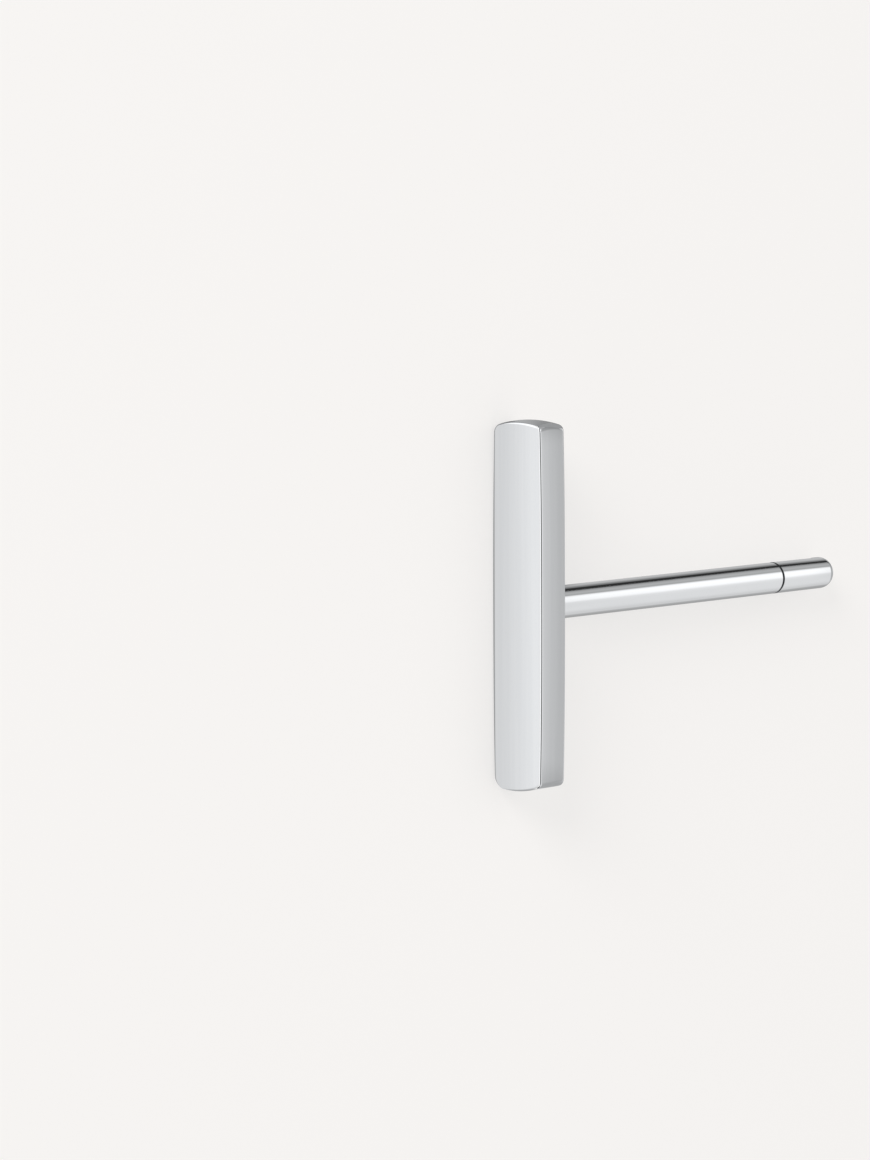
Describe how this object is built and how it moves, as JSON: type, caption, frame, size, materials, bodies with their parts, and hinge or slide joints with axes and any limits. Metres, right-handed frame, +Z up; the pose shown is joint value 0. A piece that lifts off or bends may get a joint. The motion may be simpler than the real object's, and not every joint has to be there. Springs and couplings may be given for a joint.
{
  "type": "bar stud earring",
  "caption": "Slim polished bar stud earring: a straight, softly domed metal bar soldered across a round ear post with a ring groove near its rounded tip.",
  "frame": {"origin": "centre of the stud's box, on the surface that the stud lies on", "axes": "+X along the bar towards its lower end as worn, +Y from the front face towards the tip of the post, +Z up from the surface"},
  "size_m": [0.0088, 0.0124, 0.0015],
  "materials": {
    "polished_silver": "polished"
  },
  "bodies": {
    "root": {"bar_stud": "polished_silver"}
  },
  "joints": []
}
